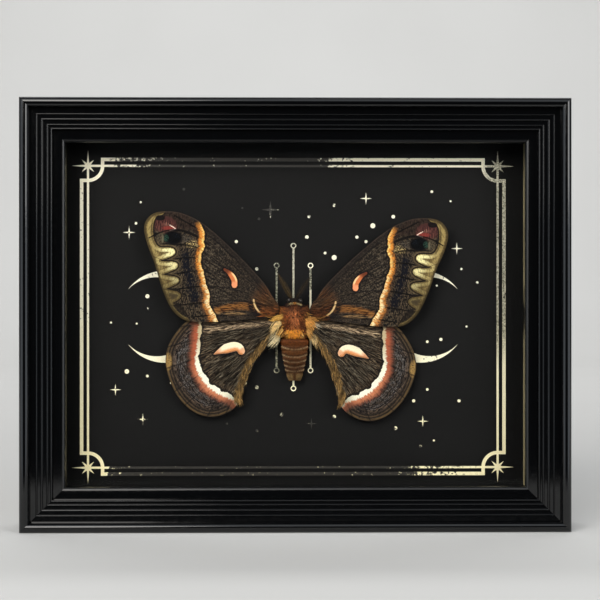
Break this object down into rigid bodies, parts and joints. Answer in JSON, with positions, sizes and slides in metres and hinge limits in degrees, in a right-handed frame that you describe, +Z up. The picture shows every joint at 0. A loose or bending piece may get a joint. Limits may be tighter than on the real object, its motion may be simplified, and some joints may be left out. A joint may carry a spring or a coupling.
{
  "type": "framed moth specimen",
  "caption": "Giant silk moth, spread and fixed on a black card with a gold foil border, behind glass in a black moulded shadow-box frame that stands upright.",
  "frame": {"origin": "middle of the footprint, on the surface that the bottom rail stands on", "axes": "+X to the right of someone who looks at the glazed front, +Y from the front to the back, +Z up"},
  "size_m": [0.234, 0.034, 0.184],
  "materials": {
    "black_lacquer": "satin black lacquer over profiled wood",
    "clear_glass": "clear, polished",
    "black_card": "matt black, faint tooth",
    "gold_foil": "hot-stamped pale gold foil, mottled",
    "fibreboard": "bare hardboard",
    "zinc_steel": "zinc plated",
    "wing_scales": "dry scaled membrane, matt",
    "body_fur": "fine rust-red fur",
    "abdomen_scales": "short velvety scales in rings",
    "antenna_horn": "dry, feathery"
  },
  "bodies": {
    "root": {"rail_top": "black_lacquer", "rail_bottom": "black_lacquer", "rail_left": "black_lacquer", "rail_right": "black_lacquer", "glass_pane": "clear_glass", "fillet_top": "black_card", "fillet_bottom": "black_card", "fillet_left": "black_card", "fillet_right": "black_card", "mount_card": "black_card", "backing_board": "fibreboard", "framers_tab_1": "zinc_steel", "framers_tab_2": "zinc_steel", "framers_tab_3": "zinc_steel", "framers_tab_4": "zinc_steel", "framers_tab_5": "zinc_steel", "framers_tab_6": "zinc_steel", "hanger_plate": "zinc_steel", "hanger_nail_left": "zinc_steel", "hanger_nail_right": "zinc_steel", "forewing_left": "wing_scales", "forewing_right": "wing_scales", "hindwing_left": "wing_scales", "hindwing_right": "wing_scales", "head": "body_fur", "thorax": "body_fur", "abdomen": "abdomen_scales", "antenna_left": "antenna_horn", "antenna_right": "antenna_horn"}
  },
  "joints": []
}
